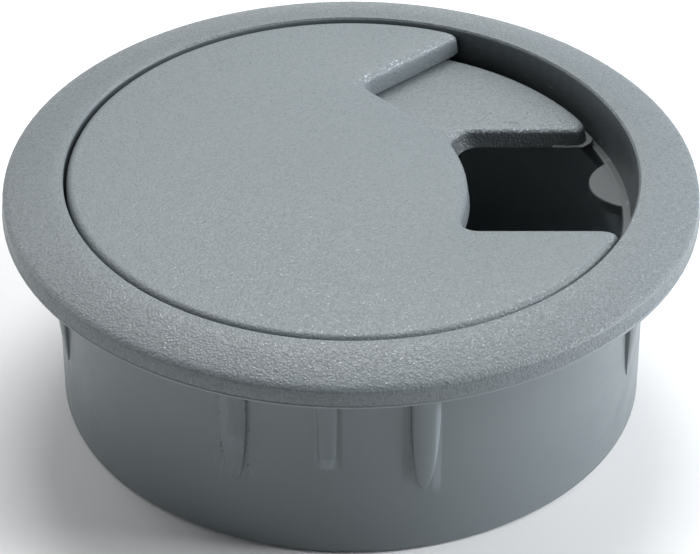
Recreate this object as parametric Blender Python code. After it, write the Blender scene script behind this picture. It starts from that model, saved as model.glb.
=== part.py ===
"""Round desk grommet: a flanged liner for a 60 mm hole, a notched cap, a slotted
rotary closure under it, and the headed pin that holds the two discs together.
World frame in metres, +Z up. The origin is the centre of the liner's lower rim.
+X points through the middle of the cable slot."""
import math

import bmesh
import bpy
from mathutils import Matrix, Vector

for _ob in list(bpy.data.objects):
    bpy.data.objects.remove(_ob, do_unlink=True)

MM = 0.001

# liner
FLANGE_R = 35.0
FLANGE_UNDER_Z = 21.8
FLANGE_EDGE_TOP_Z = 23.8
FLANGE_CROWN_Z = 25.3
MOUTH_R = 28.8
WALL_KNEE_Z = 22.9
WALL_FOOT_R = 28.15
LEDGE_Z = 20.35
LEDGE_R = 27.35
SLEEVE_TOP_R = 29.85
SLEEVE_FOOT_R = 29.72
SHOULDER_Z = 12.3
SLEEVE_BORE_R = 28.2
LUG_COUNT = 4
COLUMN_HALF_DEG = 13.0
LUG_FIRST_DEG = 9.3
LUG_THICK = 1.2
LUG_HALF = [(28.0, 4.5), (27.05, 4.0), (26.5, 3.6), (26.0, 3.18), (25.5, 2.62), (25.08, 1.95), (24.8, 1.28), (24.65, 0.62)]
LUG_TIP_R = 24.6
RIB_DEG = (-112.0, -76.3, -21.3, 13.7, 68.6, 104.0, 158.5, -163.6)
STRIP_DEG = (-94.3, -4.3, 86.0, 177.5)
RIB_W = 2.9
RIB_H = 0.8
RIB_LEN = 14.2
STRIP_W = 2.1
STRIP_H = 0.55
STRIP_LEN = 11.2

# cap
CAP_R = 28.5
CAP_TOP_Z = 25.2
CAP_UNDER_Z = 22.78
CAP_EDGE_ROUND = 0.85
CAP_PLATE_T = 1.35
SLOT_HALF = 10.36
SLOT_END_R = 11.6
END_BULGE_X = 11.65
END_BULGE_Y = -2.6
END_BULGE_R = 20.0
NOTCH_DRAFT = 0.22
STEP_OFF = 11.33
STEP_DEG = 42.4
BOSS_R = 4.0
BOSS_BORE_R = 2.3

# closure
CLOSURE_R = 27.35
CLOSURE_TOP_Z = 22.5
CLOSURE_UNDER_Z = 20.63
CLOSURE_EDGE_ROUND = 0.6
CLOSURE_PLATE_T = 1.2
CLOSURE_WALL = 1.3
CLOSURE_SLOT_X = 10.35
CLOSURE_SLOT_Y = 11.1
CLOSURE_DRAFT = 0.55
HUB_HOLE_R = 4.3
HUB_R = 7.2
FOOT_R = 27.88
FOOT_T = 0.5

# pin
PIN_SHANK_R = 2.0
PIN_HEAD_R = 6.0
PIN_HEAD_T = 1.2

SEG = 112


def material(name, rgb, roughness, metallic=0.0):
    m = bpy.data.materials.new(name)
    m.use_nodes = True
    b = m.node_tree.nodes["Principled BSDF"]
    b.inputs["Base Color"].default_value = (*rgb, 1.0)
    b.inputs["Roughness"].default_value = roughness
    b.inputs["Metallic"].default_value = metallic
    return m


def new_object(name, bm):
    bmesh.ops.recalc_face_normals(bm, faces=bm.faces)
    if bm.calc_volume(signed=True) < 0:
        bmesh.ops.reverse_faces(bm, faces=bm.faces)
    me = bpy.data.meshes.new(name)
    bm.to_mesh(me)
    bm.free()
    ob = bpy.data.objects.new(name, me)
    bpy.context.scene.collection.objects.link(ob)
    return ob


def revolve(name, profile, seg=SEG):
    """Closed (r, z) loop in mm turned about Z. Points on the axis become one vertex."""
    bm = bmesh.new()
    rings = []
    for r, z in profile:
        if r < 1e-6:
            rings.append([bm.verts.new((0, 0, z * MM))])
        else:
            rings.append([
                bm.verts.new((r * MM * math.cos(2 * math.pi * k / seg),
                              r * MM * math.sin(2 * math.pi * k / seg), z * MM))
                for k in range(seg)
            ])
    n = len(rings)
    for i in range(n):
        a, b = rings[i], rings[(i + 1) % n]
        if len(a) == 1 and len(b) == 1:
            continue
        for k in range(seg):
            k2 = (k + 1) % seg
            if len(a) == 1:
                bm.faces.new((a[0], b[k], b[k2]))
            elif len(b) == 1:
                bm.faces.new((a[k], a[k2], b[0]))
            else:
                bm.faces.new((a[k], a[k2], b[k2], b[k]))
    return new_object(name, bm)


def fillet_polygon(points, steps=0):
    """points: (x, y, radius). Returns the outline with each corner rounded."""
    out = []
    n = len(points)
    for i in range(n):
        p0 = Vector(points[i - 1][:2])
        p1 = Vector(points[i][:2])
        p2 = Vector(points[(i + 1) % n][:2])
        r = points[i][2]
        if r <= 0:
            out.append(p1)
            continue
        d0 = (p0 - p1).normalized()
        d2 = (p2 - p1).normalized()
        ang = math.acos(max(-1.0, min(1.0, d0.dot(d2))))
        t = r / math.tan(ang / 2)
        a = p1 + d0 * t
        b = p1 + d2 * t
        c = p1 + (d0 + d2).normalized() * (r / math.sin(ang / 2))
        a0 = math.atan2(a.y - c.y, a.x - c.x)
        a1 = math.atan2(b.y - c.y, b.x - c.x)
        da = (a1 - a0 + math.pi) % (2 * math.pi) - math.pi
        m = steps or max(3, int(abs(da) / math.radians(15)))
        for k in range(m + 1):
            th = a0 + da * k / m
            out.append(Vector((c.x + r * math.cos(th), c.y + r * math.sin(th))))
    return out


def arc(r, a0, a1, step=3.2):
    """Points on a circle about the origin from a0 to a1 degrees, ends included."""
    n = max(2, int(math.ceil(abs(a1 - a0) / step)))
    return [(r * math.cos(math.radians(a0 + (a1 - a0) * k / n)),
             r * math.sin(math.radians(a0 + (a1 - a0) * k / n))) for k in range(n + 1)]


def offset_in(pts, d):
    """Moves a counter-clockwise outline into its material by d."""
    out = []
    n = len(pts)
    for i in range(n):
        p0, p1, p2 = Vector(pts[i - 1]), Vector(pts[i]), Vector(pts[(i + 1) % n])
        e0 = (p1 - p0).normalized()
        e1 = (p2 - p1).normalized()
        n0 = Vector((-e0.y, e0.x))
        n1 = Vector((-e1.y, e1.x))
        m = (n0 + n1)
        m = m / max(0.35, m.dot(n0))
        out.append(p1 + m * d)
    return out


def stack(name, outline, layers):
    """Loops of one outline, inset by d at height z, joined into a solid."""
    bm = bmesh.new()
    loops = []
    for d, z in layers:
        pts = offset_in(outline, d) if d else [Vector(p) for p in outline]
        loops.append([bm.verts.new((p.x * MM, p.y * MM, z * MM)) for p in pts])
    n = len(outline)
    for a, b in zip(loops[:-1], loops[1:]):
        for k in range(n):
            bm.faces.new((a[k], a[(k + 1) % n], b[(k + 1) % n], b[k]))
    low = bm.faces.new(list(reversed(loops[0])))
    top = bm.faces.new(loops[-1])
    bmesh.ops.triangulate(bm, faces=[low, top], quad_method="BEAUTY", ngon_method="BEAUTY")
    return new_object(name, bm)


def stack_rows(name, rows):
    """Rows of (outline, z), every outline with the same number of points, joined into a solid."""
    bm = bmesh.new()
    loops = [[bm.verts.new((x * MM, y * MM, z * MM)) for x, y in pts] for pts, z in rows]
    n = len(loops[0])
    for a, b in zip(loops[:-1], loops[1:]):
        for k in range(n):
            bm.faces.new((a[k], a[(k + 1) % n], b[(k + 1) % n], b[k]))
    low = bm.faces.new(list(reversed(loops[0])))
    top = bm.faces.new(loops[-1])
    bmesh.ops.triangulate(bm, faces=[low, top], quad_method="BEAUTY", ngon_method="BEAUTY")
    return new_object(name, bm)


def cylinder(name, r, z0, z1, seg=64, at=(0, 0)):
    bm = bmesh.new()
    bmesh.ops.create_cone(bm, cap_ends=True, segments=seg, radius1=r * MM, radius2=r * MM,
                          depth=(z1 - z0) * MM,
                          matrix=Matrix.Translation((at[0] * MM, at[1] * MM, (z0 + z1) / 2 * MM)))
    return new_object(name, bm)


def bar(name, x0, x1, half_w, z0, z1, deg):
    """Box lying along the direction deg, from x0 to x1 out from the axis."""
    bm = bmesh.new()
    bmesh.ops.create_cube(bm, size=1.0)
    bmesh.ops.scale(bm, vec=((x1 - x0) * MM, 2 * half_w * MM, (z1 - z0) * MM), verts=bm.verts)
    bmesh.ops.translate(bm, vec=((x0 + x1) / 2 * MM, 0, (z0 + z1) / 2 * MM), verts=bm.verts)
    bmesh.ops.rotate(bm, cent=(0, 0, 0), matrix=Matrix.Rotation(math.radians(deg), 3, "Z"), verts=bm.verts)
    return new_object(name, bm)


def clip(pts, nx, ny, d):
    """Keeps the part of an outline where x*nx + y*ny >= d."""
    out = []
    for i in range(len(pts)):
        p, q = pts[i], pts[(i + 1) % len(pts)]
        a = p[0] * nx + p[1] * ny - d
        b = q[0] * nx + q[1] * ny - d
        if a >= 0:
            out.append(p)
        if (a >= 0) != (b >= 0):
            t = a / (a - b)
            out.append((p[0] + (q[0] - p[0]) * t, p[1] + (q[1] - p[1]) * t))
    keep = []
    for p in out:
        if not keep or math.hypot(p[0] - keep[-1][0], p[1] - keep[-1][1]) > 0.02:
            keep.append(p)
    if len(keep) > 2 and math.hypot(keep[0][0] - keep[-1][0], keep[0][1] - keep[-1][1]) < 0.02:
        keep.pop()
    return keep


def pockets(name, outline, sectors, hub, half_w, z0, z1):
    """Cutter for the hollows of a ribbed underside: one prism between each pair of spokes."""
    bm = bmesh.new()
    for a, b, *area in sectors:
        ra, rb, mid = math.radians(a), math.radians(b), math.radians((a + b) / 2)
        pts = clip(area[0] if area else outline, -math.sin(ra), math.cos(ra), half_w)
        pts = clip(pts, math.sin(rb), -math.cos(rb), half_w)
        pts = clip(pts, math.cos(mid), math.sin(mid), hub)
        low = [bm.verts.new((x * MM, y * MM, z0 * MM)) for x, y in pts]
        top = [bm.verts.new((x * MM, y * MM, z1 * MM)) for x, y in pts]
        n = len(pts)
        for k in range(n):
            bm.faces.new((low[k], low[(k + 1) % n], top[(k + 1) % n], top[k]))
        caps = [bm.faces.new(list(reversed(low))), bm.faces.new(top)]
        bmesh.ops.triangulate(bm, faces=caps)
    return new_object(name, bm)


def boolean(target, tool, op, own=False):
    m = target.modifiers.new(op, "BOOLEAN")
    m.operation = op
    m.solver = "EXACT"
    m.use_self = own
    m.object = tool
    bpy.context.view_layer.objects.active = target
    for o in bpy.context.selected_objects:
        o.select_set(False)
    target.select_set(True)
    bpy.ops.object.modifier_apply(modifier=m.name)
    bpy.data.objects.remove(tool, do_unlink=True)


def finish(ob, mat, sharp_deg=32):
    bm = bmesh.new()
    bm.from_mesh(ob.data)
    bmesh.ops.remove_doubles(bm, verts=bm.verts, dist=2e-6)
    bmesh.ops.dissolve_degenerate(bm, edges=bm.edges, dist=1e-6)
    bmesh.ops.triangulate(bm, faces=bm.faces)
    bm.to_mesh(ob.data)
    bm.free()
    ob.data.materials.clear()
    ob.data.materials.append(mat)
    ob.data.shade_smooth()
    ob.data.set_sharp_from_angle(angle=math.radians(sharp_deg))
    ob.data.name = ob.name
    return ob


# ---------------------------------------------------------------- liner
profile = [
    (SLEEVE_FOOT_R - 0.3, 0.0),
    (SLEEVE_FOOT_R, 0.3),
    (SLEEVE_TOP_R, FLANGE_UNDER_Z - 0.25),
    (SLEEVE_TOP_R + 0.25, FLANGE_UNDER_Z),
    (FLANGE_R - 0.25, FLANGE_UNDER_Z),
    (FLANGE_R, FLANGE_UNDER_Z + 0.1),
    (FLANGE_R, FLANGE_UNDER_Z + 0.28),
    (FLANGE_R - 0.06, FLANGE_UNDER_Z + 0.34),
    (FLANGE_R - 0.1, FLANGE_EDGE_TOP_Z - 0.42),
    (FLANGE_R - 0.18, FLANGE_EDGE_TOP_Z - 0.12),
    (FLANGE_R - 0.42, FLANGE_EDGE_TOP_Z + 0.1),
    (FLANGE_R - 0.9, FLANGE_EDGE_TOP_Z + 0.3),
    (FLANGE_R - 2.0, FLANGE_EDGE_TOP_Z + 0.68),
    (FLANGE_R - 3.4, FLANGE_EDGE_TOP_Z + 1.08),
    (FLANGE_R - 4.6, FLANGE_CROWN_Z - 0.12),
    (FLANGE_R - 5.6, FLANGE_CROWN_Z),
    (MOUTH_R + 0.2, FLANGE_CROWN_Z),
    (MOUTH_R, FLANGE_CROWN_Z - 0.2),
    (MOUTH_R - 0.05, WALL_KNEE_Z),
    (WALL_FOOT_R, LEDGE_Z),
    (LEDGE_R + 0.12, LEDGE_Z),
    (LEDGE_R, LEDGE_Z - 0.12),
    (LEDGE_R, SHOULDER_Z),
    (LEDGE_R + 0.12, 0.25),
    (LEDGE_R + 0.37, 0.0),
]
liner = revolve("liner", profile)


def lug(deg):
    """Rounded support lug level with the ledge, its root flared into the wall."""
    pts = [(x, -y) for x, y in LUG_HALF] + [(LUG_TIP_R, 0.0)] + [(x, y) for x, y in reversed(LUG_HALF)]
    th = math.radians(deg)
    pts = [(x * math.cos(th) - y * math.sin(th), x * math.sin(th) + y * math.cos(th)) for x, y in pts]
    area = sum(pts[i - 1][0] * pts[i][1] - pts[i][0] * pts[i - 1][1] for i in range(len(pts)))
    if area < 0:
        pts.reverse()
    return stack("lug", pts, [(0, LEDGE_Z - LUG_THICK), (0, LEDGE_Z - 0.17), (0.1, LEDGE_Z - 0.05)])


def rib(deg, width, height, length, pointed):
    """Crush rib on the sleeve's outside: constant under the flange, then running out into the wall."""
    bm = bmesh.new()
    sections = []
    z_top = FLANGE_UNDER_Z + 0.4
    z_end = FLANGE_UNDER_Z - length
    if pointed:
        stops = [0.0, 0.25, 0.45, 0.58, 0.68, 0.77, 0.85, 0.92, 0.97, 1.0]
    else:
        stops = [0.0, 0.3, 0.6, 0.86, 0.93, 0.97, 1.0]
    for s in stops:
        z = z_top + (z_end - z_top) * s
        if pointed:
            q = max(0.0, (s - 0.45) / 0.55)
            w = width * math.sqrt(max(0.0, 1 - q * q * q)) * (1 - 0.25 * q)
            h = height * (1 - q ** 1.6)
        else:
            q = max(0.0, (s - 0.86) / 0.14)
            w = (width - 0.55 * s) * math.sqrt(max(0.0, 1 - q * q))
            h = height * (1 - 0.35 * s) * (1 - 0.75 * q * q)
        w = max(w, 0.25)
        h = max(h, 0.02)
        base = SLEEVE_TOP_R - 0.03
        ring = []
        for k in range(11):
            a = math.pi * k / 10
            y = -w / 2 * math.cos(a)
            bulge = math.sin(a) ** (0.55 if pointed else 0.35)
            ring.append((base + h * bulge, y))
        ring = [(base - 0.9, -w / 2), *ring, (base - 0.9, w / 2)]
        sections.append([bm.verts.new((x * MM, y * MM, z * MM)) for x, y in ring])
    n = len(sections[0])
    for a, b in zip(sections[:-1], sections[1:]):
        for k in range(n):
            bm.faces.new((a[k], a[(k + 1) % n], b[(k + 1) % n], b[k]))
    bm.faces.new(sections[0])
    bm.faces.new(list(reversed(sections[-1])))
    bmesh.ops.rotate(bm, cent=(0, 0, 0), matrix=Matrix.Rotation(math.radians(deg), 3, "Z"), verts=bm.verts)
    return new_object("rib", bm)


def panel(deg):
    """Hollow in the lower bore between two of the columns that run down below the lugs."""
    half = 180 / LUG_COUNT - COLUMN_HALF_DEG
    pts = arc(SLEEVE_BORE_R, deg - half, deg + half, 3.2) + arc(LEDGE_R - 1.6, deg + half, deg - half, 3.2)
    return stack("panel", pts, [(0, -1.0), (0, SHOULDER_Z - 0.3), (0.3, SHOULDER_Z)])


for k in range(LUG_COUNT):
    boolean(liner, panel(LUG_FIRST_DEG + 360 / LUG_COUNT * (k + 0.5)), "DIFFERENCE")
for k in range(LUG_COUNT):
    boolean(liner, lug(LUG_FIRST_DEG + 360 / LUG_COUNT * k), "UNION")
for deg in RIB_DEG:
    boolean(liner, rib(deg, RIB_W, RIB_H, RIB_LEN, True), "UNION")
for deg in STRIP_DEG:
    boolean(liner, rib(deg, STRIP_W, STRIP_H, STRIP_LEN, False), "UNION")
finish(liner, material("liner_abs", (0.23, 0.255, 0.265), 0.5))

# ---------------------------------------------------------------- cap
st = math.radians(STEP_DEG)
sd = (math.cos(st), math.sin(st))
sn = (-math.sin(st), math.cos(st))


def on_step(along, off):
    return (along * sd[0] + off * sn[0], along * sd[1] + off * sn[1])


def drop_near_ends(corners, rim_len):
    """Thins the rim beside its two filleted ends."""
    return [c for i, c in enumerate(corners) if i not in (1, rim_len - 2)]


RIM_PIECES = 88


def spread(r, a0, a1, n):
    """n + 1 points on a circle about the origin."""
    return [(r * math.cos(math.radians(a0 + (a1 - a0) * k / n)),
             r * math.sin(math.radians(a0 + (a1 - a0) * k / n))) for k in range(n + 1)]


def cap_points(inset, notch, f_out, f_in):
    """Plan of the cap: a disc with the notch for the cable. inset moves the rim in, notch moves the notch's edges in."""
    r = CAP_R - inset
    low = SLOT_HALF + notch
    off = STEP_OFF + notch
    lower_deg = math.degrees(math.asin(-low / r))
    step_out = on_step(math.sqrt(r * r - off * off), off)
    step_deg = math.degrees(math.atan2(step_out[1], step_out[0]))
    rim = spread(r, step_deg, 360 + lower_deg, RIM_PIECES)
    corners = [(x, y, 0.0) for x, y in rim]
    corners[0] = (*rim[0], f_out)
    corners[-1] = (*rim[-1], f_out * 1.6)
    corners = drop_near_ends(corners, len(rim))
    corners.append((10.75 - notch, -low, f_in))
    for y in (-7.9, -6.4, -4.9, -3.4, -1.9, -0.4, 1.1, 2.6, 4.1, 5.4):
        corners.append((END_BULGE_X - notch - (y - END_BULGE_Y) ** 2 / (2 * END_BULGE_R), y, 0.0))
    corners += [(x, y, 0.0) for x, y in spread(SLOT_END_R - notch, 33.0, STEP_DEG - 1.0, 2)]
    corners.append((*on_step(SLOT_END_R - notch, off), f_in))
    return [tuple(p) for p in fillet_polygon(corners, 5)]


def rounded_layers(z0, z1, r, low=0.2, steps=4):
    rows = [(low, z0), (0.0, z0 + low)]
    for k in range(steps + 1):
        a = math.pi / 2 * k / steps
        rows.append((r * (1 - math.cos(a)), z1 - r + r * math.sin(a)))
    return rows


cap_rows = []
for d, z in rounded_layers(CAP_UNDER_Z, CAP_TOP_Z, CAP_EDGE_ROUND, 0.2, 5):
    lean = NOTCH_DRAFT * max(0.0, (CAP_TOP_Z - CAP_EDGE_ROUND - z) / (CAP_TOP_Z - CAP_EDGE_ROUND - CAP_UNDER_Z))
    cap_rows.append((cap_points(d, d * (0.5 if z < CAP_UNDER_Z + 0.1 else 1.0) - lean, 0.55 + 0.35 * d, 1.5 + d), z))
cap = stack_rows("cap", cap_rows)
hollow = cap_points(2.0, 1.6, 0.6, 1.6)
beside_notch = clip(hollow, -sn[0], -sn[1], -12.0)
recess = pockets("recess", hollow,
                 [(44, 76, beside_notch), (76, 110), (110, 150), (150, 190), (190, 230), (230, 270), (270, 306),
                  (306, 338)],
                 6.8, 0.6, CAP_UNDER_Z - 1, CAP_TOP_Z - CAP_PLATE_T)
boolean(cap, recess, "DIFFERENCE", True)
boolean(cap, cylinder("boss", BOSS_R, CLOSURE_UNDER_Z + 0.1, CAP_TOP_Z - CAP_PLATE_T + 0.2, 48), "UNION")
boolean(cap, cylinder("bore", BOSS_BORE_R, CLOSURE_UNDER_Z - 2, CAP_UNDER_Z + 0.85, 48), "DIFFERENCE")
finish(cap, material("cap_abs", (0.32, 0.35, 0.36), 0.55))

# ---------------------------------------------------------------- closure
def closure_points(inset, lean, f_out, f_in):
    """Plan of the closure: a disc with one slot, all edges moved in by inset, the slot's edges out again by lean."""
    r = CLOSURE_R - inset
    y = CLOSURE_SLOT_Y + inset - lean
    x_end = CLOSURE_SLOT_X - inset + lean
    edge_deg = math.degrees(math.asin(y / r))
    rim = spread(r, edge_deg, 360 - edge_deg, RIM_PIECES)
    corners = [(px, py, 0.0) for px, py in rim]
    corners[0] = (*rim[0], f_out)
    corners[-1] = (*rim[-1], f_out)
    corners = drop_near_ends(corners, len(rim))
    corners += [(x_end, -y, f_in), (x_end, y, f_in)]
    return [tuple(p) for p in fillet_polygon(corners, 5)]


closure_rows = []
for d, z in rounded_layers(CLOSURE_UNDER_Z, CLOSURE_TOP_Z, CLOSURE_EDGE_ROUND, 0.12, 4):
    lean = CLOSURE_DRAFT * max(0.0, (CLOSURE_TOP_Z - CLOSURE_EDGE_ROUND - z)
                               / (CLOSURE_TOP_Z - CLOSURE_EDGE_ROUND - CLOSURE_UNDER_Z))
    closure_rows.append((closure_points(d, lean, 1.3, 2.5), z))
closure = stack_rows("closure", closure_rows)
SLOT_WALL_Y = CLOSURE_SLOT_Y - CLOSURE_DRAFT


def wedge(r0, r1, a0, a1, z0, z1):
    pts = arc(r1, a0, a1, 3.0) + arc(r0, a1, a0, 3.0)
    return stack("foot", pts, [(0, z0 + 0.08), (0, z1 - 0.2), (0.2, z1)])


def slot_foot(sign):
    """Foot beside the slot: it follows the slot edge and stands a little proud of it."""
    y = SLOT_WALL_Y - 0.14
    pts = ([(20.55, y + 0.55), (20.8, y), (24.0, y), (24.85, y + 0.8)] + arc(FOOT_R, 25.5, 34.0, 3.0)
           + arc(24.8, 34.0, 32.0, 3.0) + [(20.7, y + 1.5)])
    if sign < 0:
        pts = [(x, -yy) for x, yy in pts][::-1]
    return stack("foot", pts, [(0, CLOSURE_UNDER_Z + 0.04), (0, CLOSURE_UNDER_Z + 0.22),
                               (0.08, CLOSURE_UNDER_Z + 0.3)])


for s in (1, -1):
    boolean(closure, slot_foot(s), "UNION")
for mid in (80, 135, 180, 225, 280):
    boolean(closure, wedge(25.2, FOOT_R, mid - 4.5, mid + 4.5, CLOSURE_UNDER_Z, CLOSURE_UNDER_Z + FOOT_T), "UNION")
tray = pockets("tray", closure_points(CLOSURE_WALL, 0.1, 0.5, 1.8),
               [(25, 62), (62, 100), (100, 140), (140, 180), (180, 220), (220, 260), (260, 298), (298, 335)],
               7.4, 0.55, CLOSURE_UNDER_Z - 1, CLOSURE_TOP_Z - CLOSURE_PLATE_T)
boolean(closure, tray, "DIFFERENCE", True)
boolean(closure, cylinder("hub_hole", HUB_HOLE_R, CLOSURE_UNDER_Z - 2, CLOSURE_TOP_Z + 2, 48), "DIFFERENCE")
finish(closure, material("closure_abs", (0.3, 0.33, 0.34), 0.58))

# ---------------------------------------------------------------- pin
head_top = CLOSURE_UNDER_Z - 0.3
head_low = head_top - PIN_HEAD_T
pin = revolve("pivot_pin", [
    (0.0, CAP_UNDER_Z + 0.5),
    (PIN_SHANK_R - 0.4, CAP_UNDER_Z + 0.5),
    (PIN_SHANK_R, CAP_UNDER_Z + 0.1),
    (PIN_SHANK_R, head_top + 0.15),
    (PIN_SHANK_R + 0.15, head_top),
    (PIN_HEAD_R - 0.15, head_top),
    (PIN_HEAD_R, head_top - 0.15),
    (PIN_HEAD_R, head_low + 0.5),
    (PIN_HEAD_R - 0.15, head_low + 0.2),
    (PIN_HEAD_R - 0.5, head_low),
    (1.5, head_low),
    (1.2, head_low + 0.35),
    (0.0, head_low + 0.35),
], 48)
finish(pin, material("pin_plastic", (0.2, 0.22, 0.23), 0.42))
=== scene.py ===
import math

import bpy
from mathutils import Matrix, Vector

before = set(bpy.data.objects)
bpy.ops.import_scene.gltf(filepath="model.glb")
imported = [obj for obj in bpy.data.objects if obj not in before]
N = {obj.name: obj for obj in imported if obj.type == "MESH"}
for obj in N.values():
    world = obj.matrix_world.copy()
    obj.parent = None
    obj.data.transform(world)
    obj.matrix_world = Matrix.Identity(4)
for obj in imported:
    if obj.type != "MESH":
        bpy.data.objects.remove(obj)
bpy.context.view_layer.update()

# ------------------------------------------------------------------ node helpers


class Graph:
    """Small helper round one material's node tree."""

    def __init__(self, name):
        self.mat = bpy.data.materials.new(name)
        self.mat.use_nodes = True
        self.t = self.mat.node_tree
        self.t.nodes.clear()
        self.out = self.t.nodes.new("ShaderNodeOutputMaterial")
        self.bsdf = self.t.nodes.new("ShaderNodeBsdfPrincipled")
        self.t.links.new(self.bsdf.outputs[0], self.out.inputs["Surface"])
        self.coord = self.t.nodes.new("ShaderNodeTexCoord").outputs["Object"]
        sep = self.t.nodes.new("ShaderNodeSeparateXYZ")
        self.t.links.new(self.coord, sep.inputs[0])
        self.x, self.y, self.z = sep.outputs
        self.r = self.math("SQRT", self.math("ADD", self.math("MULTIPLY", self.x, self.x),
                                             self.math("MULTIPLY", self.y, self.y)))

    def link(self, value, socket):
        if isinstance(value, (int, float)):
            socket.default_value = value
        elif isinstance(value, (tuple, list)):
            socket.default_value = (*value, 1.0) if len(value) == 3 and len(socket.default_value) == 4 else value
        else:
            self.t.links.new(value, socket)

    def math(self, op, a, b=None, clamp=False):
        n = self.t.nodes.new("ShaderNodeMath")
        n.operation = op
        n.use_clamp = clamp
        self.link(a, n.inputs[0])
        if b is not None:
            self.link(b, n.inputs[1])
        return n.outputs[0]

    def step(self, value, lo, hi):
        """0 below lo, 1 above hi, smooth between (lo > hi turns it round)."""
        n = self.t.nodes.new("ShaderNodeMapRange")
        n.interpolation_type = "SMOOTHSTEP"
        n.clamp = True
        flip = lo > hi
        a, b = (hi, lo) if flip else (lo, hi)
        self.link(value, n.inputs["Value"])
        n.inputs["From Min"].default_value = a
        n.inputs["From Max"].default_value = b
        n.inputs["To Min"].default_value = 1.0 if flip else 0.0
        n.inputs["To Max"].default_value = 0.0 if flip else 1.0
        return n.outputs["Result"]

    def span(self, value, lo, hi, to_lo, to_hi):
        n = self.t.nodes.new("ShaderNodeMapRange")
        n.clamp = True
        self.link(value, n.inputs["Value"])
        n.inputs["From Min"].default_value = lo
        n.inputs["From Max"].default_value = hi
        n.inputs["To Min"].default_value = to_lo
        n.inputs["To Max"].default_value = to_hi
        return n.outputs["Result"]

    def stretch(self, sx, sy, sz):
        m = self.t.nodes.new("ShaderNodeMapping")
        m.inputs["Scale"].default_value = (sx, sy, sz)
        self.t.links.new(self.coord, m.inputs["Vector"])
        return m.outputs[0]

    def shift(self, d):
        m = self.t.nodes.new("ShaderNodeMapping")
        m.inputs["Location"].default_value = (d, d * 0.7, -d)
        self.t.links.new(self.coord, m.inputs["Vector"])
        return m.outputs[0]

    def bevel(self, radius):
        n = self.t.nodes.new("ShaderNodeBevel")
        n.samples = 6
        n.inputs["Radius"].default_value = radius
        return n.outputs[0]

    def noise(self, scale, detail=3.0, rough=0.55, vec=None, distort=0.0):
        n = self.t.nodes.new("ShaderNodeTexNoise")
        n.inputs["Scale"].default_value = scale
        n.inputs["Detail"].default_value = detail
        n.inputs["Roughness"].default_value = rough
        n.inputs["Distortion"].default_value = distort
        self.t.links.new(vec if vec is not None else self.coord, n.inputs["Vector"])
        return n.outputs["Fac"]

    def voronoi(self, scale, feature="F1", smooth=0.6, vec=None):
        n = self.t.nodes.new("ShaderNodeTexVoronoi")
        n.feature = feature
        n.inputs["Scale"].default_value = scale
        if feature == "SMOOTH_F1":
            n.inputs["Smoothness"].default_value = smooth
        self.t.links.new(vec if vec is not None else self.coord, n.inputs["Vector"])
        return n.outputs["Distance"]

    def mix(self, fac, a, b):
        n = self.t.nodes.new("ShaderNodeMix")
        n.data_type = "RGBA"
        self.link(fac, n.inputs[0])
        self.link(a, n.inputs[6])
        self.link(b, n.inputs[7])
        return n.outputs[2]

    def mixf(self, fac, a, b):
        n = self.t.nodes.new("ShaderNodeMix")
        n.data_type = "FLOAT"
        self.link(fac, n.inputs[0])
        self.link(a, n.inputs[2])
        self.link(b, n.inputs[3])
        return n.outputs[0]

    def bump(self, height, strength, distance, normal=None):
        n = self.t.nodes.new("ShaderNodeBump")
        n.inputs["Distance"].default_value = distance
        self.link(strength, n.inputs["Strength"])
        self.t.links.new(height, n.inputs["Height"])
        if normal is not None:
            self.t.links.new(normal, n.inputs["Normal"])
        return n.outputs[0]


def grains(g, size, seed):
    """Height of a spark-eroded mould skin: rounded grains with finer pits between them. size is grains per metre."""
    v = g.shift(seed)
    grain = g.math("SUBTRACT", 1.0, g.voronoi(size, "SMOOTH_F1", 0.55, v))
    fine = g.noise(size * 2.1, 1.5, 0.6, v)
    clump = g.noise(size * 0.42, 2.0, 0.55, v)
    h = g.math("ADD", g.math("MULTIPLY", grain, 0.50), g.math("MULTIPLY", fine, 0.30))
    return g.math("ADD", h, g.math("MULTIPLY", clump, 0.30))


def nick(g, az, z, half_w, half_h):
    """1 inside a small upright patch of the sleeve, at az degrees round and z up."""
    turn = math.radians(az)
    across = g.math("SUBTRACT", g.math("MULTIPLY", g.y, math.cos(turn)), g.math("MULTIPLY", g.x, math.sin(turn)))
    side = g.step(g.math("ABSOLUTE", across), half_w * 1.3, half_w * 0.7)
    front = g.step(g.math("ADD", g.math("MULTIPLY", g.x, math.cos(turn)), g.math("MULTIPLY", g.y, math.sin(turn))),
                   0.020, 0.022)
    high = g.step(g.math("ABSOLUTE", g.math("SUBTRACT", g.z, z)), half_h * 1.2, half_h * 0.8)
    return g.math("MULTIPLY", g.math("MULTIPLY", side, high), front)


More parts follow.
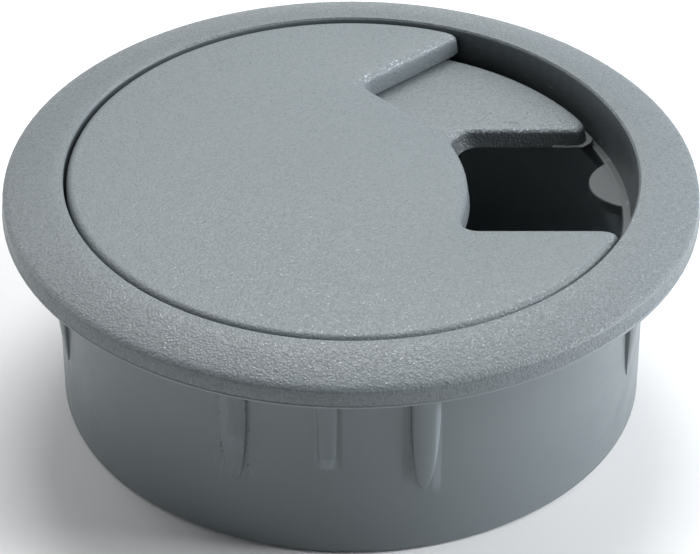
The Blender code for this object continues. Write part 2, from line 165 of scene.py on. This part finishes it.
def abs_grey(name, base, textured, rough=0.5, size=4200.0, depth=0.5, contrast=0.35, seed=0.0, extra=None,
             edge=0.00011):
    """Grey moulded ABS. textured(g) gives the mask of the spark-eroded skin; elsewhere the moulding is smooth."""
    g = Graph(name)
    mask = textured(g)
    patch = g.noise(26.0, 2.0, 0.5)
    col = g.mix(g.span(patch, 0.35, 0.65, 0.0, 1.0), tuple(c * 0.975 for c in base), tuple(c * 1.025 for c in base))
    # the skin: pits a little darker, tips a little lighter
    skin = grains(g, size, seed)
    skin_col = g.mix(g.span(skin, 0.40, 0.74, 0.0, 1.0), tuple(c * 0.78 for c in base), tuple(c * 1.20 for c in base))
    col = g.mix(g.math("MULTIPLY", mask, contrast), col, skin_col)
    # dust and rubbed specks, pale and dark
    pale = g.step(g.noise(1300.0, 4.0, 0.72), 0.735, 0.79)
    col = g.mix(g.math("MULTIPLY", pale, 0.35), col, tuple(min(1.0, c * 2.0) for c in base))
    deep = g.step(g.noise(820.0, 3.0, 0.7, g.shift(3.1)), 0.745, 0.79)
    col = g.mix(g.math("MULTIPLY", deep, 0.40), col, tuple(c * 0.35 for c in base))
    # corners painted pale: a painted highlight along the rounded edges
    if edge:
        bev = g.t.nodes.new("ShaderNodeBevel")
        bev.samples = 6
        bev.inputs["Radius"].default_value = edge
        geo = g.t.nodes.new("ShaderNodeNewGeometry")
        dot = g.t.nodes.new("ShaderNodeVectorMath")
        dot.operation = "DOT_PRODUCT"
        g.t.links.new(bev.outputs[0], dot.inputs[0])
        g.t.links.new(geo.outputs["Normal"], dot.inputs[1])
        edge_highlight = g.step(dot.outputs["Value"], 0.995, 0.86)
        col = g.mix(g.math("MULTIPLY", edge_highlight, 0.55), col, tuple(min(1.0, c * 1.9) for c in base))
    heights = []
    if extra:
        col, heights = extra(g, col, base)
    g.t.links.new(col, g.bsdf.inputs["Base Color"])
    rv = g.noise(330.0, 3.0, 0.6)
    smooth_r = g.span(rv, 0.3, 0.7, rough - 0.10, rough)
    skin_r = g.span(skin, 0.40, 0.74, rough + 0.12, rough - 0.10)
    # a few burnished grains, smooth enough to glint where a light is near the mirror angle
    glint = g.step(g.noise(size * 0.95, 2.0, 0.6, g.shift(seed + 2.3)), 0.600, 0.665)
    skin_r = g.mixf(glint, skin_r, 0.13)
    g.link(g.mixf(mask, smooth_r, skin_r), g.bsdf.inputs["Roughness"])
    g.bsdf.inputs["IOR"].default_value = 1.53
    g.bsdf.inputs["Specular IOR Level"].default_value = 0.5
    # smooth skin: faint upright draw marks and flow ripple
    draw = g.noise(1.0, 3.0, 0.5, vec=g.stretch(900.0, 900.0, 26.0))
    n = g.bump(draw, 0.10, 0.00003, g.bevel(edge) if edge else None)
    n = g.bump(g.noise(150.0, 2.0, 0.5), 0.10, 0.0002, n)
    for h, strength, distance in heights:
        n = g.bump(h, strength, distance, n)
    n = g.bump(skin, g.math("MULTIPLY", mask, depth), 0.00012, n)
    g.t.links.new(n, g.bsdf.inputs["Normal"])
    return g.mat


GREY = (0.150, 0.176, 0.187)


def liner_mask(g):
    """Flange's top and edge are textured. The bore, the underside and the sleeve are smooth."""
    up = g.step(g.z, 0.02205, 0.02218)
    out = g.step(g.r, 0.02870, 0.02890)
    return g.math("MULTIPLY", up, out)


def painted_glints(g, col, glint_zone, size):
    """Painted glints: scattered dots of the skin painted pale blue inside the zone."""
    dots = g.step(g.noise(size, 2.0, 0.65, g.shift(4.4)), 0.585, 0.67)
    col = g.mix(g.math("MULTIPLY", g.math("MULTIPLY", dots, glint_zone), 0.80), col, (0.50, 0.56, 0.66))
    return col


def liner_marks(g, col, base):
    """Knocks beside the front ribs, a pale band under the flange, scuffs on the lugs and the mouth, a darker patch on
    the battered rib, and painted light and shade: a darkened bore, a lightened deep inside, lit and shaded flanks on
    the front right ribs and painted glints on the flange.
    """
    heights = []
    # a thin pale band round the foot of the flange's edge
    line = g.math("MULTIPLY", g.step(g.math("ABSOLUTE", g.math("SUBTRACT", g.z, 0.02192)), 0.00017, 0.00008),
                  g.step(g.r, 0.0346, 0.0348))
    col = g.mix(g.math("MULTIPLY", line, 0.45), col, tuple(min(1.0, c * 1.75) for c in base))
    # dark knocks down both sides of the battered rib, fewer by the others
    chips = g.step(g.noise(2300.0, 3.0, 0.7, g.shift(1.7)), 0.54, 0.62)
    for az, z, w, h, amount in ((-114.6, 0.0140, 0.00024, 0.0046, 0.75), (-109.4, 0.0135, 0.00024, 0.0050, 0.55),
                                (-79.0, 0.0150, 0.00022, 0.0050, 0.45), (-163.6, 0.0170, 0.00026, 0.0036, 0.85)):
        m = g.math("MULTIPLY", nick(g, az, z, w, h), chips)
        col = g.mix(g.math("MULTIPLY", m, amount), col, tuple(c * 0.22 for c in base))
        heights.append((m, -0.9, 0.00018))
    # pale scuffs across the battered rib
    rub = g.step(g.noise(1.0, 3.0, 0.6, vec=g.stretch(2600.0, 2600.0, 500.0)), 0.55, 0.66)
    m = g.math("MULTIPLY", nick(g, -112.0, 0.0135, 0.0022, 0.0058), rub)
    col = g.mix(g.math("MULTIPLY", m, 0.30), col, tuple(min(1.0, c * 1.5) for c in base))
    # the upper half of that rib painted darker
    m = nick(g, -111.0, 0.0165, 0.0008, 0.0030)
    col = g.mix(g.math("MULTIPLY", m, 0.30), col, tuple(c * 0.55 for c in base))
    # painted shade: the bore and the ledge sit in dim light and their colour is darkened for it; they are also smooth
    # and polished
    bore = g.math("MULTIPLY", g.step(g.r, 0.02883, 0.02874), g.step(g.z, 0.0250, 0.0248))
    bore = g.math("MULTIPLY", bore, g.step(g.z, 0.0188, 0.0191))
    col = g.mix(bore, col, tuple(c * 0.46 for c in base))
    # painted light: the deep inside below the ledge is painted lighter
    painted_light_deep = g.math("MULTIPLY", g.step(g.r, 0.02850, 0.02840), g.step(g.z, 0.0188, 0.0186))
    col = g.mix(painted_light_deep, col, tuple(c * 1.7 for c in base))
    # scuffs on the mouth and ledge
    scuff = g.step(g.noise(1.0, 3.0, 0.6, vec=g.stretch(420.0, 420.0, 2600.0)), 0.60, 0.70)
    inner = g.math("MULTIPLY", g.step(g.r, 0.02890, 0.02885), g.step(g.z, 0.0200, 0.0202))
    col = g.mix(g.math("MULTIPLY", g.math("MULTIPLY", scuff, inner), 0.30), col, tuple(min(1.0, c * 1.8) for c in base))
    # front right rib: painted highlight on its right flank and painted shade on its left; narrow strip: painted shade
    # on one edge, painted highlight on its tip and its other edge
    for az, z, w, h, tone, amount in ((-73.9, 0.0125, 0.00040, 0.0052, 2.0, 0.42), (-79.6, 0.0148, 0.00050, 0.0060, 0.55, 0.40),
                                      (-92.0, 0.0162, 0.00022, 0.0050, 0.50, 0.45), (-94.3, 0.0112, 0.00080, 0.0007, 1.7, 0.35),
                                      (-96.5, 0.0162, 0.00016, 0.0050, 1.5, 0.35)):
        col = g.mix(g.math("MULTIPLY", nick(g, az, z, w, h), amount), col, tuple(c * tone for c in base))
    # painted glints: pale blue dots painted on the right of the flange, where the lights sit near the mirror angle
    lean = g.math("ADD", g.math("MULTIPLY", g.x, 22.0), g.math("MULTIPLY", g.y, -15.0))
    glint_zone = g.math("MULTIPLY", g.math("MULTIPLY", g.step(lean, 0.30, 1.00), 0.42), g.step(g.z, 0.0236, 0.0238))
    glint_zone = g.math("MULTIPLY", glint_zone, g.step(g.r, 0.0288, 0.0290))
    col = painted_glints(g, col, glint_zone, 4600.0)
    return col, heights


def cap_marks(g, col, base):
    """Painted glints: pale blue dots painted along the rounded corner of the step and round the front of the rim."""
    a = math.radians(42.4)
    off = g.math("SUBTRACT", g.math("MULTIPLY", g.y, math.cos(a)), g.math("MULTIPLY", g.x, math.sin(a)))
    along = g.math("ADD", g.math("MULTIPLY", g.x, math.cos(a)), g.math("MULTIPLY", g.y, math.sin(a)))
    ridge = g.math("MULTIPLY", g.step(off, 0.01205, 0.01185), g.step(off, 0.01130, 0.01142))
    ridge = g.math("MULTIPLY", ridge, g.step(along, 0.0105, 0.0115))
    front = g.math("MULTIPLY", g.step(g.r, 0.0274, 0.0277), g.step(g.math("SUBTRACT", g.x, g.y), 0.022, 0.034))
    glint_zone = g.math("MULTIPLY", g.math("MAXIMUM", ridge, g.math("MULTIPLY", front, 0.6)), g.step(g.z, 0.02465, 0.02480))
    return painted_glints(g, col, glint_zone, 3600.0), []


def closure_marks(g, col, base):
    """The walls of the slot see little light and are polished below the rounded edge; they get painted shade, the top a
    dent, and the slot's edge painted glints.
    """
    # painted shade: everything below the top, the slot's walls, is darkened
    low = g.step(g.z, 0.02235, 0.02205)
    col = g.mix(low, col, tuple(c * 0.50 for c in base))
    # a short dark dent in the top near the slot's edge
    line = g.math("ABSOLUTE", g.math("SUBTRACT", g.y, g.math("ADD", 0.01235, g.math("MULTIPLY", g.noise(700.0, 2.0, 0.5), 0.0006))))
    m = g.math("MULTIPLY", g.step(line, 0.00022, 0.00008), g.step(g.math("ABSOLUTE", g.math("SUBTRACT", g.x, 0.0165)), 0.0010, 0.0006))
    col = g.mix(g.math("MULTIPLY", m, 0.55), col, tuple(c * 0.35 for c in base))
    # painted glints: pale blue dots along the top edge of the slot
    ridge = g.math("MULTIPLY", g.step(g.z, 0.02205, 0.02220), g.step(g.y, 0.0118, 0.0114))
    ridge = g.math("MULTIPLY", ridge, g.step(g.x, 0.0095, 0.0102))
    col = painted_glints(g, col, g.math("MULTIPLY", g.math("MULTIPLY", ridge, g.step(g.y, 0.0070, 0.0080)), 0.8), 3600.0)
    return col, [(m, -0.8, 0.0002)]


def cap_mask(g):
    return g.step(g.z, 0.02260, 0.02285)


def closure_mask(g):
    return g.step(g.z, 0.02040, 0.02070)


def pin_mask(g):
    return g.math("MULTIPLY", g.step(g.z, 0.5, 0.6), 1.0)


MATS = {
    "liner": abs_grey("liner_abs", tuple(c * 0.90 for c in GREY), liner_mask, 0.46, 3900.0, 0.72, 0.66, 0.0, liner_marks),
    "cap": abs_grey("cap_abs", GREY, cap_mask, 0.50, 4100.0, 0.66, 0.38, 5.0, cap_marks),
    "closure": abs_grey("closure_abs", GREY, closure_mask, 0.48, 3500.0, 0.90, 0.48, 9.0, closure_marks),
    "pivot_pin": abs_grey("pin_abs", tuple(c * 0.9 for c in GREY), pin_mask, 0.44),
}

for name, ob in N.items():
    ob.data.materials.clear()
    ob.data.materials.append(MATS[name])
    for p in ob.data.polygons:
        p.use_smooth = True
        p.material_index = 0
    w = ob.modifiers.new("weld", "WELD")
    w.merge_threshold = 0.000002
    e = ob.modifiers.new("split", "EDGE_SPLIT")
    e.split_angle = math.radians(32)
    e.use_edge_sharp = False

# ------------------------------------------------------------------ studio

scene = bpy.context.scene
scene.view_settings.view_transform = "Standard"
scene.view_settings.look = "None"
scene.view_settings.exposure = 0.0

world = bpy.data.worlds.new("studio")
scene.world = world
world.use_nodes = True
bg = world.node_tree.nodes["Background"]
bg.inputs["Color"].default_value = (0.98, 0.99, 1.0, 1.0)
bg.inputs["Strength"].default_value = 0.04


def area(name, at, aim, size, power, color=(1, 1, 1), size_y=None):
    d = bpy.data.lights.new(name, "AREA")
    d.energy = power
    d.color = color
    d.size = size
    if size_y:
        d.shape = "RECTANGLE"
        d.size_y = size_y
    o = bpy.data.objects.new(name, d)
    scene.collection.objects.link(o)
    o.location = at
    o.rotation_euler = (Vector(aim) - Vector(at)).to_track_quat("-Z", "Y").to_euler()
    return o


def studio(name, az, el, power, size=0.30, color=(1.0, 1.0, 1.0)):
    """A soft box 0.6 m from the part. az runs from +X (right) toward +Y (back)."""
    a, e = math.radians(az), math.radians(el)
    at = (0.6 * math.cos(e) * math.cos(a), 0.6 * math.cos(e) * math.sin(a), 0.02 + 0.6 * math.sin(e))
    return area(name, at, (0.0, 0.0, 0.02), size, power, color)


studio("key_right", 0, 38, 2.25)
studio("right_low", 0, 12, 3.30, color=(0.95, 0.985, 1.05))
studio("top_back", 90, 60, 2.95)
studio("back_left", 135, 38, 1.10)
studio("back_right", 45, 38, 0.52)
studio("left_low", 180, 12, 0.39)
studio("front_left", 225, 12, 0.23)
studio("left_rim", 155, 8, 0.60)

# floor: a pale sheet that curves up behind
fm = bpy.data.meshes.new("floor")
rows = []
pts = []
L = 1.2
for k in range(-1, 1):
    pts.append((k * 0.8 - 0.0, 0.0))
prof = [(-1.0, 0.0), (0.55, 0.0)]
for k in range(1, 9):
    a = math.radians(90 * k / 8)
    prof.append((0.55 + 0.35 * math.sin(a), 0.35 * (1 - math.cos(a))))
prof.append((0.90, 1.6))
verts = []
for y, z in prof:
    verts += [(-1.6, y, z), (1.6, y, z)]
faces = [(2 * i, 2 * i + 1, 2 * i + 3, 2 * i + 2) for i in range(len(prof) - 1)]
fm.from_pydata(verts, [], faces)
fm.update()
for p in fm.polygons:
    p.use_smooth = True
floor = bpy.data.objects.new("floor", fm)
scene.collection.objects.link(floor)
gf = Graph("floor_paper")
gf.link(gf.mix(gf.span(gf.noise(8.0, 3.0, 0.5), 0.35, 0.65, 0.0, 1.0), (0.86, 0.865, 0.87), (0.875, 0.88, 0.885)),
        gf.bsdf.inputs["Base Color"])
gf.bsdf.inputs["Roughness"].default_value = 0.85
floor.data.materials.append(gf.mat)

# ------------------------------------------------------------------ camera

cam_data = bpy.data.cameras.new("camera")
cam_data.sensor_width = 36.0
cam_data.lens = 176.894
cam_data.clip_start = 0.02
cam_data.clip_end = 5.0
cam = bpy.data.objects.new("camera", cam_data)
scene.collection.objects.link(cam)
cam.location = (-0.0000095, -0.2862460, 0.1928075 + 0.0238)
cam.rotation_euler = Vector((-0.000264839, 0.813363074, -0.581756340)).to_track_quat("-Z", "Y").to_euler()
scene.camera = cam
